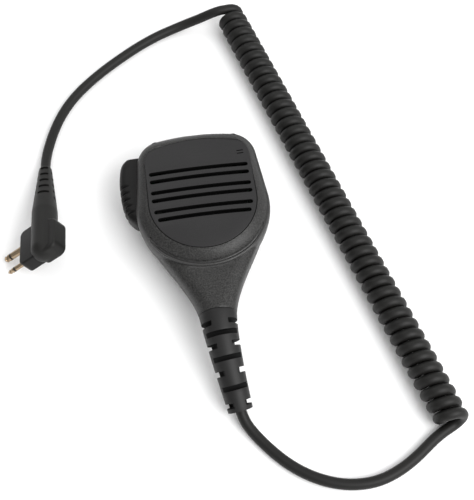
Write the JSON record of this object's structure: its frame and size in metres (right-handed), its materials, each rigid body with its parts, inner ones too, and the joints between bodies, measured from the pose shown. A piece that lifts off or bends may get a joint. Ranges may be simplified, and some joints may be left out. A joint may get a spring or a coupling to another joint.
{
  "type": "remote speaker microphone",
  "caption": "Hand-held speaker microphone for a portable radio: side talk button, slotted speaker panel, swivel belt clip, curly cord and right-angle plug with coaxial pins.",
  "frame": {"origin": "on the axis on which the clip swivels, in the outer face of the clip's jaw, which lies on the table", "axes": "+Z out of the speaker panel, +Y towards the top of the microphone, so the cord leaves towards -Y and the talk button is on -X"},
  "size_m": [0.2097, 0.278, 0.034],
  "materials": {
    "housing_plastic": "grained black",
    "panel_plastic": "smooth black",
    "button_plastic": "fine grained black",
    "clip_plastic": "smooth black",
    "cloth": "fine black cloth",
    "foam": "soft black",
    "steel": "plain",
    "cone_paper": "black, coated",
    "board": "green solder mask",
    "rubber": "satin black",
    "pin_metal": "gold plated",
    "pin_insulator": "black"
  },
  "bodies": {
    "housing": {"front_housing": "housing_plastic", "rear_housing": "housing_plastic", "speaker_grille": "panel_plastic", "dust_mesh": "cloth", "speaker_gasket": "foam", "speaker_frame": "steel", "speaker_cone": "cone_paper", "speaker_magnet": "steel", "circuit_board": "board", "mic_capsule": "steel", "mic_boot": "rubber", "ptt_switch": "button_plastic", "housing_screw_1": "steel", "housing_screw_2": "steel", "housing_screw_3": "steel", "housing_screw_4": "steel", "swivel_screw": "steel", "swivel_washer": "steel", "strain_relief": "rubber", "cord_lower": "rubber", "cord_coil": "rubber", "cord_upper": "rubber", "plug_handle": "rubber", "plug_base": "panel_plastic", "large_pin_sleeve": "pin_metal", "large_pin_ring": "pin_insulator", "large_pin_tip": "pin_metal", "small_pin_sleeve": "pin_metal", "small_pin_ring": "pin_insulator", "small_pin_tip": "pin_metal"},
    "ptt": {"ptt_button": "button_plastic", "ptt_dome": "rubber"},
    "plunger": {"ptt_plunger": "button_plastic"},
    "clip": {"clip_base": "clip_plastic", "clip_pin": "steel", "clip_spring": "steel"},
    "jaw": {"clip_jaw": "clip_plastic"}
  },
  "joints": [
    {"name": "ptt_press", "type": "slide", "parent": "housing", "child": "ptt", "axis": [1, 0, 0], "range_m": [0, 0.0012], "stiffness_N_per_m": 1500, "springref_m": -0.001, "deforming": ["ptt_dome"]},
    {"name": "plunger_press", "type": "slide", "parent": "housing", "child": "plunger", "axis": [1, 0, 0], "range_m": [0, 0.0003]},
    {"name": "clip_swivel", "type": "hinge", "parent": "housing", "child": "clip", "pos_m": [0, 0, 0], "axis": [0, 0, 1], "continuous": true},
    {"name": "clip_open", "type": "hinge", "parent": "clip", "child": "jaw", "pos_m": [0, 0.014, 0.0058], "axis": [1, 0, 0], "range_deg": [0, 15], "stiffness_Nm_per_rad": 0.3, "springref_deg": -57.3, "deforming": ["clip_spring"]}
  ],
  "couplings": [
    {"joint": "plunger_press", "follows": "ptt_press", "ratio": 0.25}
  ]
}
